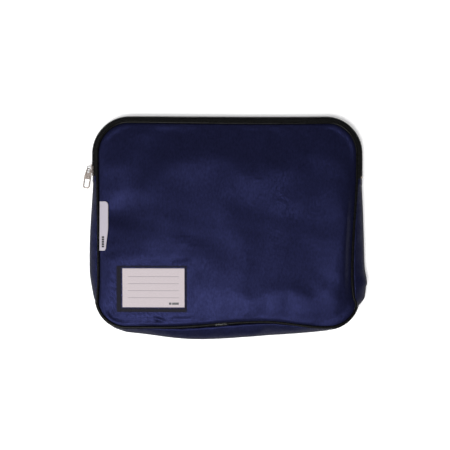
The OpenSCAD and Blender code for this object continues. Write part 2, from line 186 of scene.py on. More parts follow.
def front_z(y):
    """Height of the front seam above the surface that the bag lies on."""
    return BACK_Z + DEPTH_TOP + (DEPTH_BOTTOM - DEPTH_TOP) * (FRONT_TOP - y) / (FRONT_TOP - FRONT_BOTTOM)


def lift(flat, z):
    """Joins points in the plane with their heights."""
    return np.concatenate([flat, np.broadcast_to(z, len(flat))[:, None]], 1)


def front_seam(s, inset=0.0):
    """Points of the front seam, or of a line that runs inset inside it at the seam's height."""
    s = np.atleast_1d(np.asarray(s, float))
    at_seam = outline(s) - (LEAN + dent(s))[:, None] * outward(s)
    return lift(at_seam - inset * outward(s), front_z(at_seam[:, 1]))


def side_points(s, t):
    """Points on the bag's side: t is 0 at the back seam and 1 at the front seam."""
    s = np.atleast_1d(np.asarray(s, float))
    t = np.broadcast_to(t, s.shape)
    front = front_seam(s)
    flat = flat_share(s)
    arch = 1 - np.maximum(0, (np.abs(2 * t - 1) - flat) / (1 - flat)) ** 2
    inset = t * (LEAN + dent(s)) - bulge(s) * arch
    return lift(outline(s) - inset[:, None] * outward(s), BACK_Z + t * (front[:, 2] - BACK_Z))


def unit(v):
    return v / np.maximum(np.linalg.norm(v, axis=-1, keepdims=True), 1e-9)


def side_frame(s, t):
    """Points on the side with their unit outward normals, upward directions and tangents."""
    step, share = 1e-4, 0.01
    along = unit(side_points(s + step, t) - side_points(s - step, t))
    up = unit(side_points(s, t + share) - side_points(s, t - share))
    normal = unit(np.cross(along, up))
    outer = np.where((normal[:, :2] * outward(s)).sum(-1) < 0, -1, 1)
    return side_points(s, t), normal * outer[:, None], up, along


def run_along(line):
    """Length of a line of points up to each of them."""
    return np.concatenate([[0], np.cumsum(np.linalg.norm(np.diff(line, axis=0), axis=1))])


def stations(first, last, spacing):
    """Stations from first to last that lie about spacing apart along the back seam."""
    fine = np.linspace(first, last, 4001)
    run = run_along(outline(fine))
    count = max(2, round(run[-1] / spacing))
    return np.interp(np.linspace(0, run[-1], count + 1), run, fine)


def all_round(spacing):
    """Stations all round the bag, with the last one left out because it is the first."""
    return stations(0, 8 - 1e-9, spacing)[:-1]


# --- Meshes ---

def add_mesh(name, verts, faces, material, smooth=True):
    """A mesh object from points in millimetres."""
    mesh = bpy.data.meshes.new(name)
    mesh.from_pydata((np.asarray(verts, float) * MM).tolist(), [], faces)
    mesh.validate()
    mesh.update()
    if smooth:
        mesh.shade_smooth()
    mesh.materials.append(material)
    obj = bpy.data.objects.new(name, mesh)
    bpy.context.scene.collection.objects.link(obj)
    return obj


def applied(obj):
    """Makes what the modifiers show into the object's own mesh."""
    shown = obj.evaluated_get(bpy.context.evaluated_depsgraph_get())
    mesh = bpy.data.meshes.new_from_object(shown)
    obj.modifiers.clear()
    obj.data = mesh
    return obj


def run_cloth(obj, pinned, pressure, growth, frames=20):
    """Lets a sheet move as cloth from where it is, with some points pinned: how far each point goes, in mm."""
    group = obj.vertex_groups.new(name="pinned")
    group.add([int(i) for i in pinned], 1.0, "REPLACE")
    cloth = obj.modifiers.new("cloth", "CLOTH")
    cloth.point_cache.frame_end = frames
    settings = cloth.settings
    settings.vertex_group_mass = group.name
    settings.mass = 0.15
    settings.tension_stiffness = 30
    settings.compression_stiffness = 20
    settings.shear_stiffness = 10
    settings.bending_stiffness = 6
    settings.shrink_min = -growth
    settings.use_pressure = True
    settings.uniform_pressure_force = pressure
    settings.effector_weights.gravity = 0
    cloth.collision_settings.use_collision = False
    for moment in range(1, frames + 1):
        bpy.context.scene.frame_set(moment)
    shown = obj.evaluated_get(bpy.context.evaluated_depsgraph_get())
    moved = np.array([after.co - before.co for after, before in zip(shown.data.vertices, obj.data.vertices)])
    bpy.context.scene.frame_set(1)
    obj.modifiers.clear()
    obj.vertex_groups.clear()
    return moved / MM


def quads(rows, cols, wrap_rows=False, wrap_cols=False, start=0):
    """Faces of a grid of points that is stored row by row."""
    out = []
    for i in range(rows if wrap_rows else rows - 1):
        for j in range(cols if wrap_cols else cols - 1):
            i2, j2 = (i + 1) % rows, (j + 1) % cols
            out.append((start + i * cols + j, start + i2 * cols + j, start + i2 * cols + j2, start + i * cols + j2))
    return out


def thick_sheet(name, grid, normals, thickness, material):
    """A closed sheet round a grid of middle points."""
    rows, cols = grid.shape[:2]
    half = normals * thickness / 2
    verts = np.concatenate([(grid + half).reshape(-1, 3), (grid - half).reshape(-1, 3)])
    count = rows * cols
    top = quads(rows, cols)
    faces = top + [tuple(count + i for i in reversed(q)) for q in top]
    for i in range(rows - 1):
        a, b = i * cols, (i + 1) * cols
        faces.append((b, a, a + count, b + count))
        faces.append((a + cols - 1, b + cols - 1, b + cols - 1 + count, a + cols - 1 + count))
    last = (rows - 1) * cols
    for j in range(cols - 1):
        faces.append((j, j + 1, j + 1 + count, j + count))
        faces.append((last + j + 1, last + j, last + j + count, last + j + 1 + count))
    return add_mesh(name, verts, faces, material)


def ring_sheet(name, rings, heights, centre, material):
    """A single surface of rings that step in from the first one and close round a centre point."""
    grid = np.concatenate([rings, heights[..., None]], 2)
    rows, cols = grid.shape[:2]
    faces = [tuple(reversed(q)) for q in quads(rows, cols, wrap_cols=True)]
    inner = (rows - 1) * cols
    faces += [(inner + i, inner + (i + 1) % cols, rows * cols) for i in range(cols)]
    return add_mesh(name, np.concatenate([grid.reshape(-1, 3), [centre]]), faces, material)


def tube(name, line, radius, material, sides, closed, side_dirs):
    """A round tube along a line, with a radius at each point: a ring, or a length with closed ends."""
    count = len(line)
    radius = np.broadcast_to(radius, count)
    ahead = unit(np.roll(line, -1, 0) - np.roll(line, 1, 0) if closed else np.gradient(line, axis=0))
    up_dirs = np.cross(side_dirs, ahead)
    angle = np.linspace(0, 2 * np.pi, sides, endpoint=False)
    ring = (np.cos(angle)[None, :, None] * side_dirs[:, None] + np.sin(angle)[None, :, None] * up_dirs[:, None])
    verts = (line[:, None] + radius[:, None, None] * ring).reshape(-1, 3)
    faces = quads(count, sides, wrap_rows=closed, wrap_cols=True)
    if not closed:
        faces.append(tuple(range(sides)))
        faces.append(tuple(reversed(range((count - 1) * sides, count * sides))))
    return add_mesh(name, verts, faces, material)


def stitch_row(name, line, normals, material, length=2.3, pitch=3.1, radius=0.28):
    """Separate stitches along a line, each a short thread that dips into the cloth at its ends."""
    run = run_along(line)
    verts, faces = [], []
    bends = np.array([-0.5, -0.36, 0, 0.36, 0.5])
    rise = np.array([-0.35, 0.18, 0.3, 0.18, -0.35])
    wide = np.array([0.55, 1, 1, 1, 0.55])
    sides = 6
    angle = np.linspace(0, 2 * np.pi, sides, endpoint=False)
    for k in range(int(run[-1] // pitch)):
        mid = (k + 0.5) * pitch
        at = [np.interp(mid + np.array([-1, 0, 1]), run, line[:, i]) for i in range(3)]
        at = np.array(at).T
        ahead = unit(at[2] - at[0])
        up = np.array([np.interp(mid, run, normals[:, i]) for i in range(3)])
        up = unit(up - ahead * (up @ ahead))
        side = np.cross(ahead, up)
        start = len(verts)
        for bend, high, w in zip(bends, rise, wide):
            centre = at[1] + ahead * bend * length + up * high * radius * 2
            for a in angle:
                verts.append(centre + w * radius * (side * math.cos(a) + up * math.sin(a)))
        faces += quads(len(bends), sides, wrap_cols=True, start=start)
        faces.append(tuple(range(start, start + sides)))
        faces.append(tuple(reversed(range(len(verts) - sides, len(verts)))))
    return add_mesh(name, np.array(verts), faces, material)


# --- Materials ---

# Highlights weaken as a surface turns edge on: they end at this facing value, at this share of their level.
EDGE_ON = 0.7
EDGE_SHARE = 0.05


class Finish:
    """One material, and short ways to add and join its nodes."""

    def __init__(self, name, **sockets):
        self.material = bpy.data.materials.new(name)
        self.material.use_nodes = True
        self.tree = self.material.node_tree
        self.shader = self.tree.nodes["Principled BSDF"]
        self.place = self.add("ShaderNodeTexCoord").outputs["Object"]
        for socket, value in sockets.items():
            self.shader.inputs[socket.replace("_", " ")].default_value = value

    def add(self, kind, **settings):
        node = self.tree.nodes.new(kind)
        for key, value in settings.items():
            setattr(node, key, value)
        return node

    def plug(self, value, socket):
        if isinstance(value, bpy.types.NodeSocket):
            self.tree.links.new(value, socket)
        else:
            socket.default_value = value

    def math(self, operation, a, b=0.0):
        node = self.add("ShaderNodeMath", operation=operation)
        self.plug(a, node.inputs[0])
        self.plug(b, node.inputs[1])
        return node.outputs[0]

    def scaled(self, scale):
        node = self.add("ShaderNodeVectorMath", operation="MULTIPLY")
        self.plug(self.place, node.inputs[0])
        node.inputs[1].default_value = scale
        return node.outputs[0]

    def axes(self, vector):
        node = self.add("ShaderNodeSeparateXYZ")
        self.plug(vector, node.inputs[0])
        return node.outputs

    def noise(self, scale, detail=3.0, stretch=(1, 1, 1)):
        node = self.add("ShaderNodeTexNoise")
        self.plug(self.scaled(stretch), node.inputs["Vector"])
        node.inputs["Scale"].default_value = scale
        node.inputs["Detail"].default_value = detail
        return node.outputs[0]

    def spread(self, value, low, high):
        """Maps 0..1 to low..high."""
        node = self.add("ShaderNodeMapRange")
        self.plug(value, node.inputs["Value"])
        node.inputs["To Min"].default_value = low
        node.inputs["To Max"].default_value = high
        return node.outputs["Result"]

    def mix(self, share, a, b):
        node = self.add("ShaderNodeMix", data_type="RGBA")
        self.plug(share, node.inputs[0])
        self.plug(a, node.inputs[6])
        self.plug(b, node.inputs[7])
        return node.outputs[2]

    def shine(self, level, patches=None):
        """Specular level that fades out where the surface is seen edge on, and may vary in patches."""
        fade = self.add("ShaderNodeMapRange", interpolation_type="SMOOTHSTEP")
        self.plug(self.add("ShaderNodeLayerWeight").outputs["Facing"], fade.inputs["Value"])
        fade.inputs["From Max"].default_value = EDGE_ON
        fade.inputs["To Min"].default_value = level
        fade.inputs["To Max"].default_value = level * EDGE_SHARE
        shown = fade.outputs["Result"]
        if patches is not None:
            shown = self.math("MULTIPLY", shown, patches)
        self.plug(shown, self.shader.inputs["Specular IOR Level"])

    def colour(self, value):
        self.plug(value, self.shader.inputs["Base Color"])

    def roughness(self, value):
        self.plug(value, self.shader.inputs["Roughness"])

    def bump(self, *layers):
        """Stacks bumps, each (height, strength, distance in mm)."""
        last = None
        for height, strength, distance in layers:
            node = self.add("ShaderNodeBump")
            node.inputs["Strength"].default_value = strength
            node.inputs["Distance"].default_value = distance * MM
            self.plug(height, node.inputs["Height"])
            if last is not None:
                self.plug(last, node.inputs["Normal"])
            last = node.outputs["Normal"]
        self.plug(last, self.shader.inputs["Normal"])

    def threads(self, spacing):
        """Height of a plain weave with that thread spacing in mm, the same in every plane."""
        turn = 2 * math.pi / (spacing * MM)
        x, y, z = [self.math("SINE", axis) for axis in self.axes(self.scaled((turn, turn, turn)))]
        pairs = [self.math("MULTIPLY", a, b) for a, b in ((x, y), (y, z), (z, x))]
        total = self.math("ADD", self.math("ADD", pairs[0], pairs[1]), pairs[2])
        return self.math("ADD", self.math("MULTIPLY", total, 0.4), 0.5)


def cloth_finish(name, dark, light, worn):
    """Satin coated cloth: a fine weave, faint slubs and a little wear."""
    f = Finish(name, Specular_Tint=(0.27, 0.31, 1.0, 1))
    weave = f.threads(0.62)
    slub = f.noise(420, 2.0, (1, 0.5, 0.7))
    f.shine(0.31, f.spread(slub, 0.35, 1.65))
    patch = f.noise(14, 4.0)
    base = f.mix(f.spread(patch, -0.2, 1.2), dark, light)
    wear = f.math("MULTIPLY", f.math("ADD", f.math("MULTIPLY", weave, 0.4), slub), 0.45)
    f.colour(f.mix(wear, base, worn))
    f.roughness(f.spread(f.noise(60, 3.0), 0.3, 0.37))
    f.bump((weave, 0.35, 0.16), (slub, 0.25, 0.12), (f.noise(90, 3.0), 0.18, 0.5))
    return f.material


def vinyl_finish(name, shade, rough, shine):
    """Piping vinyl with faint scuffs."""
    f = Finish(name)
    f.shine(shine)
    scuff = f.noise(240, 5.0)
    f.colour(f.mix(scuff, (shade, shade, shade * 1.05, 1), (shade * 2.2, shade * 2.2, shade * 2.4, 1)))
    f.roughness(f.spread(scuff, rough, rough + 0.16))
    f.bump((f.noise(900, 3.0), 0.12, 0.1), (f.noise(70, 2.0), 0.2, 0.35))
    return f.material


def tape_finish(name, shade):
    """Ribbed woven tape."""
    f = Finish(name)
    f.shine(0.12)
    weave = f.threads(0.5)
    fuzz = f.noise(800, 4.0)
    dark, light = [(tone, tone, tone * 1.1, 1) for tone in (shade, shade * 4)]
    f.colour(f.mix(f.math("MULTIPLY", weave, fuzz), dark, light))
    f.roughness(f.spread(fuzz, 0.7, 0.9))
    f.bump((weave, 0.6, 0.2), (fuzz, 0.3, 0.1))
    return f.material


def nylon_finish(name):
    """Moulded nylon, nearly black."""
    f = Finish(name, Specular_IOR_Level=0.5)
    grain = f.noise(500, 3.0)
    f.colour(f.mix(grain, (0.006, 0.006, 0.007, 1), (0.02, 0.02, 0.023, 1)))
    f.roughness(f.spread(grain, 0.3, 0.5))
    f.bump((grain, 0.1, 0.05))
    return f.material


def metal_finish(name, tone):
    """Nickel plate with fine scratches and dull patches."""
    f = Finish(name, Metallic=1.0)
    scratch = f.noise(260, 6.0, (6, 1, 1))
    patch = f.noise(110, 3.0)
    dull = tuple(c * 0.7 for c in tone[:3]) + (1,)
    f.colour(f.mix(patch, tone, dull))
    f.roughness(f.spread(scratch, 0.16, 0.42))
    f.bump((scratch, 0.12, 0.05), (f.noise(1500, 2.0), 0.08, 0.03))
    return f.material


def film_finish(name, tint, alpha):
    """Clear pocket film, a little wavy and scuffed."""
    f = Finish(name, Alpha=alpha, Specular_IOR_Level=0.15)
    f.material.surface_render_method = "BLENDED"
    scuff = f.noise(180, 5.0)
    f.colour(f.mix(scuff, tint, tuple(c * 1.25 for c in tint[:3]) + (1,)))
    f.roughness(f.spread(scuff, 0.25, 0.45))
    f.bump((f.noise(35, 2.0), 0.25, 0.6), (scuff, 0.08, 0.05))
    return f.material


RULE_HALF = 0.3


def card_finish(name, paper, ink, left, right, rows):
    """Card stock with ruled lines from left to right at the heights in rows."""
    f = Finish(name, Specular_IOR_Level=0.25)
    x, y, _ = f.axes(f.place)
    fibre = f.noise(700, 4.0)
    stock = f.mix(fibre, paper, tuple(c * 0.93 for c in paper[:3]) + (1,))
    inside = f.math("MULTIPLY", f.math("GREATER_THAN", x, left * MM), f.math("LESS_THAN", x, right * MM))
    ruled = None
    for row in rows:
        near = f.math("LESS_THAN", f.math("ABSOLUTE", f.math("SUBTRACT", y, row * MM)), RULE_HALF * MM)
        ruled = near if ruled is None else f.math("MAXIMUM", ruled, near)
    f.colour(f.mix(f.math("MULTIPLY", ruled, inside), stock, ink))
    f.roughness(f.spread(fibre, 0.55, 0.75))
    f.bump((fibre, 0.08, 0.04))
    return f.material


NAVY = cloth_finish(
    "navy_cloth", (0.004, 0.0044, 0.013, 1), (0.0052, 0.0056, 0.017, 1), (0.0108, 0.0118, 0.04, 1))
NAVY_BACK = cloth_finish(
    "navy_cloth_back", (0.0045, 0.005, 0.014, 1), (0.006, 0.0064, 0.018, 1), (0.012, 0.013, 0.042, 1))
PIPING = vinyl_finish("black_vinyl", 0.0025, 0.2, 0.08)
JOINT = vinyl_finish("black_vinyl_joint", 0.005, 0.14, 0.3)
FILLER = tape_finish("filler_cotton", 0.16)
BINDING = tape_finish("binding_weave", 0.012)
ZIP_TAPE = tape_finish("zip_tape_weave", 0.003)
COIL = nylon_finish("black_nylon")
THREAD = tape_finish("black_thread", 0.008)
BLUE_THREAD = cloth_finish("navy_thread", (0.01, 0.011, 0.05, 1), (0.015, 0.017, 0.07, 1), (0.04, 0.045, 0.13, 1))
NICKEL = metal_finish("nickel_plate", (0.58, 0.5, 0.45, 1))
FILM = film_finish("clear_film", (0.3, 0.28, 0.36, 1), 0.015)
WELD = film_finish("welded_film", (0.03, 0.03, 0.07, 1), 0.04)
SATIN = cloth_finish("label_satin", (0.43, 0.4, 0.43, 1), (0.49, 0.45, 0.49, 1), (0.57, 0.53, 0.57, 1))
INK = nylon_finish("dark_ink")


# --- Front panel ---

CARD_X = middle("card_pocket_window", 0)
CARD_Y = middle("card_pocket_window", 1)
POCKET_W = 100
POCKET_H = 66
CARD_Z = 36
CARD_RISE_X = 0.0475
CARD_RISE_Y = 0.03
BACK_FILM = 0.35
FILM_GAP = 0.15
# The panel is flat this far past the pocket, then the drawn cloth and its folds come back over these distances.
FLAT_MARGIN = 1.5
DRAWN_FADE = 22
FOLD_FADE = 9
# Folds start this far from the seam and come in over the next distance.
FOLD_START = 3
FOLD_RISE = 10
# The cloth turns down into its seam by this much, from this far inside it and over the next distance.
TURN_DOWN = 1.2
TURN_START = 1
TURN_RISE = 4.5
# How square the rings of equal height on the crown are, and how steeply it falls towards the seam
CROWN_SQUARE = 5
CROWN_FALL = 3
# Distance from the seam at a point well inside a panel
INSIDE = 40.0


def card_plane(x, y):
    """Height of the plane on which the back film of the card pocket lies."""
    return CARD_Z + CARD_RISE_X * (x - CARD_X) + CARD_RISE_Y * (y - CARD_Y)


def flatten(x, y, fade):
    """1 behind the card pocket, falling to 0 over the distance fade outside it."""
    dx = np.maximum(0, np.abs(x - CARD_X) - POCKET_W / 2 - FLAT_MARGIN)
    dy = np.maximum(0, np.abs(y - CARD_Y) - POCKET_H / 2 - FLAT_MARGIN)
    return 1 - ease(np.hypot(dx, dy) / fade)


def crown(x, y):
    """Height of the cloth's middle surface on the filled front panel."""
    a = np.abs(x) / (HALF_W - LEAN)
    b = np.abs(y - FRONT_MID) / FRONT_HALF
    far = (a ** CROWN_SQUARE + b ** CROWN_SQUARE) ** (1 / CROWN_SQUARE)
    rise = CROWN_TOP + (CROWN_BOTTOM - CROWN_TOP) * (FRONT_TOP - y) / (FRONT_TOP - FRONT_BOTTOM)
    return front_z(y) + rise * np.maximum(0, 1 - far ** CROWN_FALL)


def crease(x, y, start, end, height, reach):
    """A fold along a line: a ridge, or a valley where height is negative, that fades at its ends."""
    start, end = np.array(start, float), np.array(end, float)
    along = end - start
    span = np.hypot(*along)
    u = ((x - start[0]) * along[0] + (y - start[1]) * along[1]) / span ** 2
    off = ((x - start[0]) * along[1] - (y - start[1]) * along[0]) / span
    ends = np.cos(np.pi / 2 * np.clip(np.abs(2 * u - 1), 0, 1)) ** 2
    return height * ends * np.exp(-(off / reach) ** 2)


# Folds of the front panel: the start and end of each, its height and its reach.
FOLDS = [
    ((168, 112), (163, -170), 6.2, 25),
    ((-150, 92), (165, 84), 2.2, 25),
    ((-60, 20), (150, 112), 1.5, 22),
    ((-192, 14), (-108, 24), -4.0, 22),
    ((-185, 70), (-120, 100), 1.5, 16),
    ((-70, -112), (150, -104), 1.6, 20),
    ((-184, -140), (-4, -138), -1.3, 6.5),
    ((-178, -156), (-150, -108), -2.6, 8),
    ((20, -124), (178, -126), 0.7, 8),
    ((20, -92), (172, -114), 1.1, 12),
    ((100, -66), (178, -120), 1.2, 12),
    ((-106, -129), (-88, -145), -1.5, 3),
    ((-100, -130), (-72, -141), 1.3, 4),
    ((-46, -130), (-14, -143), 1.3, 3.4),
    ((-38, -140), (-14, -133), -1.1, 3),
    ((-60, 30), (60, -40), 0.9, 26),
    ((60, 10), (150, 62), 1.2, 16),
]


def fold_heights(x, y):
    """Height of all the folds together."""
    return sum(crease(x, y, *fold) for fold in FOLDS)


def ripple(x, y):
    """Slow unevenness of cloth that was filled and handled."""
    return (0.35 * np.sin(x / 23 + 1.3 * np.sin(y / 31)) * np.sin(y / 27 + 0.8)
            + 0.16 * np.sin(x / 9.5 + y / 14 + np.sin(y / 17)) * np.sin(y / 11 - x / 19))


# The sheet that is run as cloth: its spacing, how far it reaches past the seam, how near the seam it is pinned,
# how flat the panel is where it is pinned at the pocket, the share of its movement that is kept, and the most.
SIM_STEP = 6
SIM_MARGIN = 6
SIM_SEAM = 8
SIM_POCKET = 0.3
SIM_SHARE = 0.28
SIM_CAP = 2.5


def settle():
    """How far the front cloth rises or sinks when a square sheet of it is run as cloth over the whole panel."""
    x, y = np.meshgrid(np.arange(-HALF_W - SIM_MARGIN, HALF_W + 2 * SIM_MARGIN, SIM_STEP),
                       np.arange(FRONT_BOTTOM - SIM_MARGIN, FRONT_TOP + 2 * SIM_MARGIN, SIM_STEP))
    seam = all_round(5)
    reach = np.stack([x, y], 2).reshape(-1, 1, 2) - front_seam(seam)[None, :, :2]
    nearest = np.linalg.norm(reach, axis=2).argmin(1)
    depth = -(reach[np.arange(x.size), nearest] * outward(seam[nearest])).sum(1).reshape(x.shape)
    held = (depth < SIM_SEAM) | (flatten(x, y, FOLD_FADE) > SIM_POCKET)
    z = crown(x, y) + fold_heights(x, y) + ripple(x, y)
    sheet = add_mesh("settling_sheet", np.stack([x, y, z], 2).reshape(-1, 3), quads(*x.shape), NAVY)
    rise = run_cloth(sheet, np.flatnonzero(held), pressure=0.5, growth=0.008)[:, 2].reshape(x.shape)
    bpy.data.objects.remove(sheet)
    rise = np.where(rise == 0, 0, rise - rise[~held].mean())
    return x[0], y[:, 0], SIM_CAP * np.tanh(SIM_SHARE * rise / SIM_CAP)


SETTLED = settle()


def settled(x, y):
    if SETTLED is None:
        return 0.0
    xs, ys, rise = SETTLED
    i = np.clip((y - ys[0]) / SIM_STEP, 0, len(ys) - 1.001)
    j = np.clip((x - xs[0]) / SIM_STEP, 0, len(xs) - 1.001)
    i0, j0 = np.floor(i).astype(int), np.floor(j).astype(int)
    a, b = ease(i - i0), ease(j - j0)
    low = rise[i0, j0] * (1 - b) + rise[i0, j0 + 1] * b
    high = rise[i0 + 1, j0] * (1 - b) + rise[i0 + 1, j0 + 1] * b
    return low * (1 - a) + high * a


def panel_height(x, y, from_seam):
    """Height of the front cloth: crowned, folded, settled, and turned down into its seam."""
    behind_card = card_plane(x, y) - BACK_FILM - CLOTH / 2 - FILM_GAP
    drawn = crown(x, y) + (behind_card - crown(x, y)) * flatten(x, y, DRAWN_FADE)
    loose = (1 - flatten(x, y, FOLD_FADE)) * ease((from_seam - FOLD_START) / FOLD_RISE)
    turned_down = TURN_DOWN * (1 - ease((from_seam - TURN_START) / TURN_RISE))
    return drawn + loose * (fold_heights(x, y) + ripple(x, y) + settled(x, y)) - turned_down


def front_cloth():
    """The front panel's middle surface: rings that step in from the seam and then shrink to its middle."""
    s = all_round(3.0)
    steps = [1.3, 2.0, 2.8, 3.8, 5, 6.5, 8.2, 10, 12, 14, 16, 18]
    rings = [front_seam(s, d)[:, :2] for d in steps]
    centre = np.array([0, -10.0])
    shrinking = 52
    rings += [centre + (1 - k / shrinking) * (rings[-1] - centre) for k in range(1, shrinking)]
    depths = steps + [INSIDE] * (shrinking - 1)
    rings = np.array(rings)
    heights = panel_height(rings[..., 0], rings[..., 1], np.array(depths)[:, None])
    top = [*centre, panel_height(*centre, INSIDE)]
    return ring_sheet("front_cloth", rings, heights, top, NAVY)


def finish_sheet(obj, thickness):
    """Gives a single surface its thickness, half of it to each side."""
    solid = obj.modifiers.new("thickness", "SOLIDIFY")
    solid.thickness = thickness * MM
    solid.offset = 0
    solid.use_even_offset = False
    return applied(obj)


def flap_blend(obj):
    """Bakes the placement of a piece that crosses the fold into its mesh."""
    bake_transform(obj)


front = front_cloth()
finish_sheet(front, CLOTH)
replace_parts(front, "front_panel", "flap_panel")
flap_blend(front)


# --- Gusset and back panel ---

# Folds across the gusset, as humps along the stations: over its whole height, and nearer the front seam.
FULL_FOLDS = [(1.6, 0.1, 0.03, 0.16), (2.2, 5.85, 0.35, 0.3), (1.4, 6.8, 0.25, 0.3), (-1.8, 0.2, 0.1, 0.5)]
UPPER_FOLDS = [(-1.2, 0.02, 0.08, 0.06), (1.3, 6.62, 0.05, 0.06), (-1.6, 6.7, 0.05, 0.07), (-0.9, 5.5, 0.2, 0.2)]


def gusset_waves(s, t, run):
    """Folds of the slack gusset, in mm along its normal: puckers at the seams and a few sharp corner folds."""
    slack = np.minimum(1, bulge(s) / 8)
    mid = np.sin(np.pi * t)
    upper = mid * hump(t, 0.78, 0.5, 0.3)
    waves = 0.3 * np.sin(run / 13 + 2.2 * t) * upper + 0.25 * np.sin(run / 29 - 3.1 * t) * mid
    pucker = 0.35 * np.sin(run / 3.9 + np.sin(run / 17)) * hump(t, 0.93, 0.25, 0.1)
    return slack * (waves + pucker) + mid * humps(s, FULL_FOLDS) + upper * humps(s, UPPER_FOLDS)


def side_grid(s, t, waves=None):
    """A grid of points on the side with normals: one row per station, one column per share t."""
    columns = [side_frame(s, value) for value in t]
    grid = np.stack([column[0] for column in columns], 1)
    normals = np.stack([column[1] for column in columns], 1)
    if waves is not None:
        run = run_along(grid[:, 0])
        for j, value in enumerate(t):
            grid[:, j] += normals[:, j] * waves(s, value, run)[:, None]
    return grid, normals


# In stations: the gap between the gusset and the zip, and how far a hem reaches past its own ends.
END_GAP = 0.001
HEM_OVER = 0.0015
# In mm, as everywhere else
HEM_LEN = 8
HEM_LIFT = 0.75
HEM_EDGE_DROP = 0.35
GUSSET_RUN = stations(ZIP_LEFT + END_GAP, 8 + ZIP_RIGHT - END_GAP, 2.6)
ZIP_RUN = stations(ZIP_RIGHT + END_GAP, ZIP_LEFT - END_GAP, 2.2)


def gusset_cloth():
    """The slack strip round the sides and the bottom."""
    grid, normals = side_grid(GUSSET_RUN, np.linspace(0.04, 0.96, 25), gusset_waves)
    obj = thick_sheet("gusset_cloth", grid, normals, CLOTH, NAVY)
    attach(obj, "bag")
    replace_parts(obj, "gusset")


def gusset_hems():
    """The turned ends of the gusset, sewn down over the ends of the zip."""
    hem_share = HEM_LEN / SIDE_LEN
    for name, first, last in (("left", ZIP_LEFT, ZIP_LEFT + hem_share), ("right", ZIP_RIGHT - hem_share, ZIP_RIGHT)):
        s = np.linspace(first - HEM_OVER, last + HEM_OVER, 12)
        grid, normals = side_grid(s, np.linspace(0.06, 0.94, 22))
        across = np.linspace(-1, 1, len(s))
        rise = HEM_LIFT - HEM_EDGE_DROP * across ** 6
        grid = grid + normals * rise[:, None, None]
        hem = thick_sheet("gusset_hem_" + name, grid, normals, 0.6, NAVY)
        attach(hem, "bag")
        for k, row in enumerate((3, 8)):
            line = grid[row] + normals[row] * 0.35
            sewn = stitch_row(f"hem_stitches_{name}_{k + 1}", line, normals[row], BLUE_THREAD)
            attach(sewn, "bag")


def back_cloth():
    """The back panel: flat where it lies, and drawn up a little towards its seam."""
    s = all_round(4.5)
    steps = [1.4, 2.6, 4.2, 6.5, 10, 15, 21, 29]
    rings = [outline(s) - d * outward(s) for d in steps]
    shares = 1 - np.arange(1, 17) / 17
    rings = np.array(rings + [share * rings[-1] for share in shares])
    x, y = rings[..., 0], rings[..., 1]
    inside = np.array(steps + [INSIDE] * len(shares))[:, None]
    rise = 0.25
    rest = rise * (1 + np.sin(x / 26 + np.sin(y / 31)) * np.sin(y / 24)) * ease(inside / 30)
    heights = CLOTH / 2 + 0.9 * (1 - ease(inside / 7)) + rest
    obj = ring_sheet("back_cloth", rings, heights, [0, 0, CLOTH / 2 + rise], NAVY_BACK)
    finish_sheet(obj, CLOTH)
    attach(obj, "bag")
    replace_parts(obj, "back_panel")


gusset_cloth()
gusset_hems()
back_cloth()


# --- Piping ---

def flat_dirs(s):
    """Outward directions of the outline as points in space."""
    return lift(outward(s), 0.0)


def front_piping():
    """The piping round the front panel, not quite even in height and thickness."""
    s = all_round(2.4)
    line = front_seam(s)
    run = np.arange(len(s))
    line[:, 2] += 0.15 * np.sin(run / 9.0) + 0.1 * np.sin(run / 3.7)
    radius = PIPING_R * (1 + 0.02 * np.sin(run / 2.3) + 0.02 * np.sin(run / 11.0))
    obj = tube("front_piping", line, radius, PIPING, 18, True, flat_dirs(s))
    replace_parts(obj, "front_piping_cover", "flap_piping_cover")
    flap_blend(obj)


def bottom_station(x):
    """Station of a point on the bottom seam."""
    return 6 + (x - (BOTTOM_R - HALF_W)) / (2 * (HALF_W - BOTTOM_R))


# Where the laps start and end along the bottom
LAP_FROM = -18
LAP_TO = 1.5


def piping_joints():
    """Where the two ends of each piping overlap: a slightly fatter, flattened lap."""
    s = stations(bottom_station(LAP_FROM), bottom_station(LAP_TO), 0.8)
    ends = np.minimum(1, np.minimum(np.arange(len(s)), np.arange(len(s))[::-1]) / 3)
    fat = PIPING_R * (0.86 + 0.3 * np.sqrt(ends))
    for name, line, down in (("front", front_seam(s), 0.25), ("back", lift(outline(s), BACK_Z), 0.2)):
        line = line + np.array([0, -down, 0.25])
        lap = tube(name + "_piping_joint", line, fat, JOINT, 18, False, flat_dirs(s))
        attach(lap, "bag")


front_piping()
piping_joints()


# --- Zip ---

TAPE_GAP = 1.3
TAPE_EDGE = 0.5 - TAPE_GAP / 2 / DEPTH_TOP
# The coils: distance from the zip's middle line, width, height, pitch, radius of the thread, how much shorter
# than the tape each end is, and the points in a turn
COIL_OFF = 0.95
COIL_W = 2.5
COIL_H = 1.8
COIL_PITCH = 1.35
COIL_THREAD = 0.34
COIL_SHORT = 4
COIL_START = ZIP_RIGHT + COIL_SHORT / SIDE_LEN
COIL_END = ZIP_LEFT - COIL_SHORT / SIDE_LEN
TURN_POINTS = 9


def zip_tape(name, near, edge):
    """One woven tape from the seam to its edge beside the coil."""
    t = np.linspace(near, edge, 12)
    grid, normals = side_grid(ZIP_RUN, t)
    run = np.arange(len(ZIP_RUN))
    slack = np.sin(np.pi * (t - near) / (edge - near))
    wave = 0.22 * np.sin(run / 6.0)[:, None] * slack[None, :]
    grid = grid + normals * wave[..., None]
    obj = thick_sheet(name, grid, normals, TAPE, ZIP_TAPE)
    column = int(len(t) * 0.3)
    line = grid[:, column] + normals[:, column] * TAPE / 2
    sewn = stitch_row(name + "_stitches", line, normals[:, column], THREAD)
    beside = grid[:, -3] + normals[:, -3] * TAPE / 2
    held = stitch_row(name + "_coil_stitches", beside, normals[:, -3], THREAD, 1.5, 1.9, 0.22)
    return obj, sewn, held


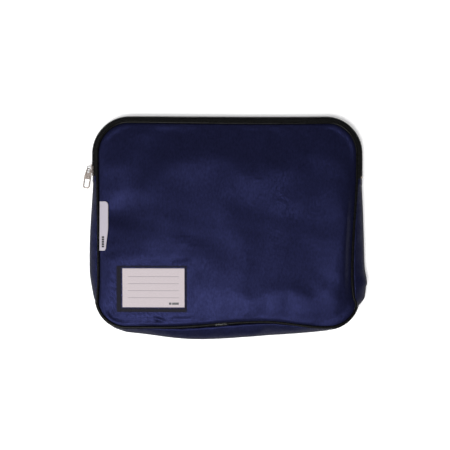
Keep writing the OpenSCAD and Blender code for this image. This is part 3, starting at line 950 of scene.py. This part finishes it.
def zip_coil(name, side):
    """A wound nylon coil: one long helix of thread beside the zip's middle line."""
    fine = stations(COIL_START, COIL_END, 1.0)
    frames = side_frame(fine, 0.5)
    run = run_along(frames[0])
    place = np.linspace(0, run[-1], int(run[-1] / COIL_PITCH * TURN_POINTS))
    mid, out, high, ahead = [np.stack([np.interp(place, run, part[:, i]) for i in range(3)], 1) for part in frames]
    turn = 2 * np.pi * place / COIL_PITCH + (0 if side > 0 else np.pi)
    wide = COIL_W / 2 - COIL_THREAD
    tall = COIL_H / 2 - COIL_THREAD
    centre = mid + out * (TAPE / 2 + 0.05 + COIL_H / 2) + high * side * (COIL_OFF + COIL_W / 2)
    line = centre + out * (tall * np.sin(turn))[:, None] + high * (wide * np.cos(turn))[:, None]
    step = unit(np.gradient(line, axis=0))
    side_dirs = unit(np.cross(step, ahead))
    return tube(name, line, COIL_THREAD, COIL, 6, False, side_dirs)


def zip_parts():
    """Both tapes with their stitches, and both coils: the back ones on the bag, the front ones with their placement
    baked into their meshes.
    """
    for obj in zip_tape("back_tape", 0.05, TAPE_EDGE):
        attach(obj, "bag")
    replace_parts(bpy.data.objects["back_tape"], "back_zip_tape")
    for obj in zip_tape("front_tape", 0.95, 1 - TAPE_EDGE):
        flap_blend(obj)
    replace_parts(bpy.data.objects["front_tape"], "front_zip_tape_ends", "flap_zip_tape")
    back = zip_coil("back_coil", -1)
    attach(back, "bag")
    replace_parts(back, "back_zip_coil")
    upper = zip_coil("front_coil", 1)
    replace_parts(upper, "front_zip_coil_ends", "flap_zip_coil")
    flap_blend(upper)


zip_parts()


# --- Parts kept from the frame, with better finishes ---

def refinish(node, material, bevel=0.0):
    """Gives a CAD node a material of this script, and rounded edges where a bevel width is given."""
    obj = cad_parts[node]
    obj.material_slots[0].material = material
    if bevel:
        edge = obj.modifiers.new("edges", "BEVEL")
        edge.width = bevel * MM
        edge.segments = 3
        edge.limit_method = "ANGLE"
        edge.angle_limit = math.radians(40)
        edge.harden_normals = False


for kept in ("back_piping_cord", "front_piping_cord", "flap_piping_cord"):
    refinish(kept, FILLER)
for kept in ("back_seam_binding", "front_seam_binding", "flap_seam_binding"):
    refinish(kept, BINDING)
refinish("back_piping_cover", PIPING)
for kept, bevel in (("zip_bottom_stop", 0.2), ("zip_top_stops", 0.2), ("slider_body", 0.22),
                    ("slider_bridge", 0.25), ("pull_tab", 0.22)):
    refinish(kept, NICKEL, bevel)
refinish("card_pocket_back", WELD)


# --- Card pocket, card and label ---

CARD_LEFT = face("name_card", 0, 0)
CARD_RIGHT = face("name_card", 1, 0)
CARD_LOW = face("name_card", 0, 1)
CARD_HIGH = face("name_card", 1, 1)
CARD_MARGIN = 8
RULE_TOP = CARD_HIGH - 11.6
RULE_STEP = 9.95
RULES = [RULE_TOP - RULE_STEP * k for k in range(4)]
CARD_STOCK = card_finish("card_stock", (0.6, 0.53, 0.55, 1), (0.27, 0.24, 0.26, 1),
                         CARD_LEFT + CARD_MARGIN, CARD_RIGHT - CARD_MARGIN, RULES)
refinish("name_card", CARD_STOCK)


def plane_grid(u, v, height):
    """A grid over the card's plane, with its height above that plane."""
    uu, vv = np.meshgrid(u, v, indexing="ij")
    x, y = CARD_X + uu, CARD_Y + vv
    z = card_plane(x, y) + height(uu, vv)
    return np.stack([x, y, z], 2)


FILM_THICKNESS = 0.22
WELD_THICKNESS = 0.2


def film_height(u, v):
    """Height of the window film: welded down on three sides, lifted over the card and at the open end."""
    welded, lifted = 0.3, 0.62
    left = ease((u + POCKET_W / 2 - 5) / 3.5)
    right = ease((POCKET_W / 2 - u - 1.2) / 2.0)
    low = ease((v + POCKET_H / 2 - 4) / 3.0)
    wave = 0.08 * np.sin(u / 13 + 0.7) * np.sin(v / 11) + 0.12 * ease((v - POCKET_H / 2 + 9) / 9) * np.sin(u / 15)
    return welded + left * right * low * (lifted + wave)


def level_sheet(name, grid, thickness, material):
    """A sheet of the pocket, thickened straight up and down."""
    up = np.broadcast_to(np.array([0, 0, 1.0]), grid.shape)
    sheet = thick_sheet(name, grid, up, thickness, material)
    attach(sheet, "bag")
    return sheet


def card_pocket():
    """The window film, with its grid closer at the edges of the card, and a ribbed weld along each side."""
    high = POCKET_H / 2
    wide = POCKET_W / 2
    u = np.concatenate([np.linspace(-wide, -38, 22), np.linspace(-36, 43, 50), np.linspace(43.5, wide, 14)])
    v = np.concatenate([np.linspace(-high, -24, 18), np.linspace(-23, high, 44)])
    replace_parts(level_sheet("pocket_film", plane_grid(u, v, film_height), FILM_THICKNESS, FILM), "card_pocket_window")
    left, bottom, right, top = 6.6, 5.2, 2.4, 2.2
    bars = [
        ("left", (-wide, -wide + left), (-high, high)),
        ("bottom", (-wide + left, wide), (-high, -high + bottom)),
        ("right", (wide - right, wide), (-high + bottom, high)),
        ("top", (-wide + left, wide - right), (high - top, high)),
    ]
    spacing, rib_pitch = 0.9, 1.8
    for name, (u0, u1), (v0, v1) in bars:
        us = np.linspace(u0, u1, max(6, round((u1 - u0) / spacing)))
        vs = np.linspace(v0, v1, max(6, round((v1 - v0) / spacing)))

        def ribbed(uu, vv, name=name):
            across = uu if name in ("left", "right") else vv
            return film_height(uu, vv) + 0.24 + 0.07 * np.sin(across * 2 * np.pi / rib_pitch)

        level_sheet("pocket_weld_" + name, plane_grid(us, vs, ribbed), WELD_THICKNESS, WELD)


MARK_THICKNESS = 0.06


def printed_bars(name, boxes, height, body):
    """Thin printed bars: each box is (x0, x1, y0, y1), lying at the height that a function gives."""
    verts, faces = [], []
    for x0, x1, y0, y1 in boxes:
        start = len(verts)
        for z in (0, MARK_THICKNESS):
            for x, y in ((x0, y0), (x1, y0), (x1, y1), (x0, y1)):
                verts.append((x, y, height(x, y) + z))
        faces += [tuple(start + i for i in f) for f in
                  ((3, 2, 1, 0), (4, 5, 6, 7), (0, 1, 5, 4), (1, 2, 6, 5), (2, 3, 7, 6), (3, 0, 4, 7))]
    obj = add_mesh(name, np.array(verts), faces, INK, smooth=False)
    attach(obj, body)


# Height of the card's upper face, with its mark just clear of it, over the back film
CARD_TOP_Z = 0.6 + 0.02


def card_mark():
    """A plain mark where the card is printed: a short bar and a long one."""
    right = CARD_RIGHT - CARD_MARGIN
    low = CARD_LOW + 3.6
    high = low + 3.2
    boxes = [(right - 14, right - 10.4, low, high), (right - 9.6, right, low, high)]
    printed_bars("card_mark", boxes, lambda x, y: card_plane(x, y) + CARD_TOP_Z, "card")


LABEL_ROOT = face("side_label", 0, 0)
LABEL_HIGH = face("side_label", 1, 1)
LABEL_LOW = face("side_label", 0, 1)
LABEL_LEN = LABEL_HIGH - LABEL_LOW
LABEL_W = 12.4
LABEL_ROUND = 5.5
LABEL_TAPER = 3.2
LABEL_BLUNT = 1.6
LABEL_THICKNESS = 0.45
LABEL_SLOPE = math.tan(math.radians(10))


def label_width(down):
    """Width of the label at a distance below its top edge: rounded above, tapered below."""
    above_round = np.maximum(0, LABEL_ROUND - down)
    round_part = LABEL_W - LABEL_ROUND + np.sqrt(np.maximum(0, LABEL_ROUND ** 2 - above_round ** 2))
    taper = LABEL_TAPER * ease((down / LABEL_LEN - 0.5) / 0.5)
    end = LABEL_BLUNT * ease((down - LABEL_LEN + 3) / 3)
    return round_part - taper - end


def label_height(x, y):
    """Height of the label, which slopes up from its seam and waves a little."""
    across = x - LABEL_ROOT
    return front_z(y) + 1.75 + across * LABEL_SLOPE + 0.25 * np.sin(y / 13) * across / LABEL_W


def side_label():
    """The woven label with its plain mark."""
    down = np.concatenate([np.linspace(0.05, LABEL_ROUND, 12), np.linspace(LABEL_ROUND + 1.2, LABEL_LEN, 50)])
    share = np.linspace(0, 1, 12)
    x = LABEL_ROOT + share[None, :] * label_width(down)[:, None]
    y = np.broadcast_to((LABEL_HIGH - down)[:, None], x.shape)
    grid = np.stack([x, y, label_height(x, y)], 2)
    up = np.broadcast_to(unit(np.array([-LABEL_SLOPE, 0, 1.0])), grid.shape)
    label = thick_sheet("woven_label", grid, up, LABEL_THICKNESS, SATIN)
    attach(label, "label")
    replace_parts(label, "side_label")
    left, right, bar, pitch = LABEL_ROOT + 3.2, LABEL_ROOT + 6.6, 2.7, 3.3
    boxes = [(left, right, low, low + bar) for low in np.arange(LABEL_LOW + 4.5, LABEL_LOW + 20, pitch)]
    printed_bars("label_mark", boxes, lambda x, y: label_height(x, y) + 0.24, "label")


card_pocket()
card_mark()
side_label()


# --- Floor, light and camera ---

def area_light(name, place, size, power):
    """A white rectangular light aimed at the origin, with its place and size in metres."""
    data = bpy.data.lights.new(name, "AREA")
    data.shape = "RECTANGLE"
    data.size, data.size_y = size
    data.energy = power
    obj = bpy.data.objects.new(name, data)
    obj.location = place
    obj.rotation_euler = (-Vector(place)).to_track_quat("-Z", "Y").to_euler()
    bpy.context.scene.collection.objects.link(obj)


def studio():
    """A pale floor just under the bag, three lights, and a world that is lighter below than above."""
    floor = bpy.data.meshes.new("floor")
    reach, level = 4.0, -0.0003
    corners = [(-reach, -reach, level), (reach, -reach, level), (reach, reach, level), (-reach, reach, level)]
    floor.from_pydata(corners, [], [(0, 1, 2, 3)])
    obj = bpy.data.objects.new("floor", floor)
    pale = Finish("pale_floor", Roughness=0.9, Specular_IOR_Level=0.1,
                  Emission_Color=(1, 1, 1, 1), Emission_Strength=0.4)
    pale.colour(pale.mix(pale.noise(3, 2.0), (0.93, 0.93, 0.93, 1), (0.95, 0.95, 0.95, 1)))
    floor.materials.append(pale.material)
    bpy.context.scene.collection.objects.link(obj)

    area_light("key", (-0.5, -1.0, 2.6), (1.3, 1.0), 72)
    area_light("left_fill", (-2.3, -0.2, 1.5), (1.0, 1.0), 16)
    area_light("far_fill", (0.4, 2.4, 1.2), (2.4, 0.5), 12)

    world = bpy.data.worlds.new("studio")
    bpy.context.scene.world = world
    world.use_nodes = True
    tree = world.node_tree
    coords = tree.nodes.new("ShaderNodeTexCoord")
    split = tree.nodes.new("ShaderNodeSeparateXYZ")
    ramp = tree.nodes.new("ShaderNodeValToRGB")
    tree.links.new(coords.outputs["Generated"], split.inputs[0])
    tree.links.new(split.outputs["Z"], ramp.inputs[0])
    tree.links.new(ramp.outputs[0], tree.nodes["Background"].inputs["Color"])
    for stop, position, shade in zip(ramp.color_ramp.elements, (0.3, 0.7), ((1, 1, 1, 1), (0.3, 0.3, 0.32, 1))):
        stop.position = position
        stop.color = shade
    tree.nodes["Background"].inputs["Strength"].default_value = 0.16
    bpy.context.scene.view_settings.view_transform = "Standard"


def camera():
    """Straight above the bag, with a lens that makes the picture as wide as frame_width at the front panel's seam."""
    distance, seam_height, frame_width, sensor = 1600, 25, 641.7, 36
    data = bpy.data.cameras.new("camera")
    data.sensor_width = sensor
    data.lens = sensor * distance / frame_width
    obj = bpy.data.objects.new("camera", data)
    obj.location = (-3.3 * MM, -2.1 * MM, (seam_height + distance) * MM)
    bpy.context.scene.collection.objects.link(obj)
    bpy.context.scene.camera = obj


studio()
camera()
